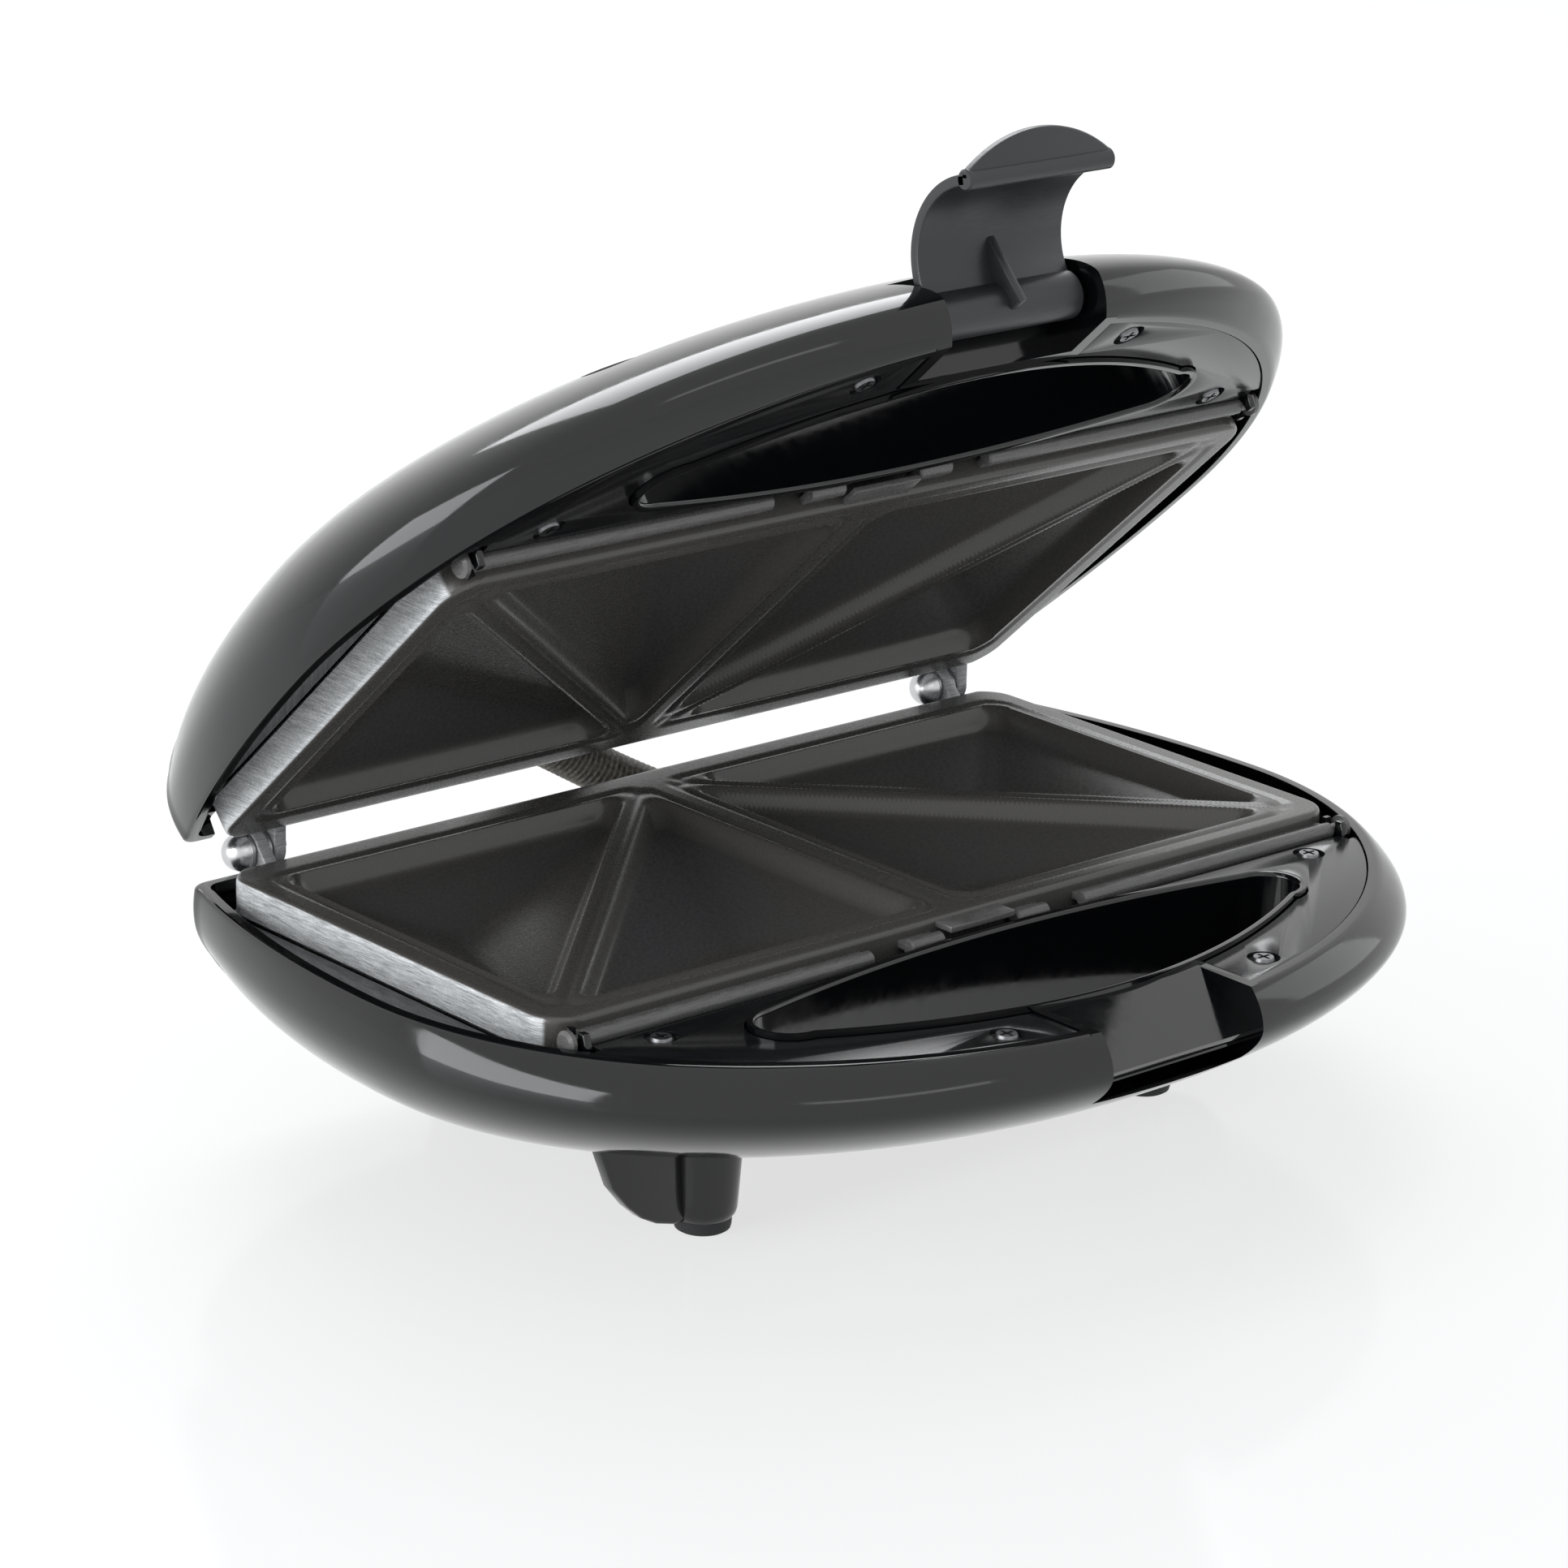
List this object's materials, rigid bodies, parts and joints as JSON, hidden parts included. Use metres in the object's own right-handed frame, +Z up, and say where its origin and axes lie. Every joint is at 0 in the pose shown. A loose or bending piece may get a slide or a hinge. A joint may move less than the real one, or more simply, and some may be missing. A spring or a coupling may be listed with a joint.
{
  "type": "sandwich toaster",
  "caption": "Electric sandwich toaster with a hinged lid, pyramid-pocket cooking plates, crescent grip openings and a swing latch, standing open.",
  "frame": {"origin": "middle of the open toaster's box, on the table", "axes": "+X to the right, +Y to the rear where the lid is hinged and the mains lead leaves, +Z up"},
  "size_m": [0.2546, 0.2039, 0.2247],
  "materials": {
    "gloss_black": "gloss",
    "panel_black": "satin",
    "cast_nonstick": "satin",
    "heater_tube": "matte",
    "tray_metal": "satin",
    "screw_steel": "satin",
    "rubber_black": "matte",
    "ceramic": "matte",
    "pin_chrome": "gloss",
    "washer_metal": "satin",
    "sleeve_grey": "matte",
    "lamp_red": "gloss",
    "latch_grey": "satin"
  },
  "bodies": {
    "base": {"base_housing": "gloss_black", "base_panel": "panel_black", "base_plate": "cast_nonstick", "base_heater": "heater_tube", "base_reflector": "tray_metal", "base_panel_screws": "screw_steel", "base_plate_screws": "screw_steel", "rubber_feet": "rubber_black", "thermostat": "ceramic", "thermal_fuse": "ceramic", "terminal_block": "ceramic", "cord_gland": "rubber_black", "hinge_pins": "pin_chrome", "hinge_washers": "washer_metal", "wire_conduit": "sleeve_grey"},
    "lid": {"lid_housing": "gloss_black", "lid_panel": "panel_black", "lid_plate": "cast_nonstick", "lid_heater": "heater_tube", "lid_reflector": "tray_metal", "lid_panel_screws": "screw_steel", "lid_plate_screws": "screw_steel", "lamp_lenses": "lamp_red", "lamp_holder": "panel_black", "latch_pin": "screw_steel"},
    "latch": {"latch": "latch_grey"}
  },
  "joints": [
    {"name": "lid_hinge", "type": "hinge", "parent": "base", "child": "lid", "pos_m": [0, 0.0819, 0.05875], "axis": [-1, 0, 0], "range_deg": [-42.2, 60], "deforming": ["wire_conduit"]},
    {"name": "latch_hinge", "type": "hinge", "parent": "lid", "child": "latch", "pos_m": [0, -0.03921, 0.18645], "axis": [1, 0, 0], "range_deg": [-10, 111]}
  ]
}
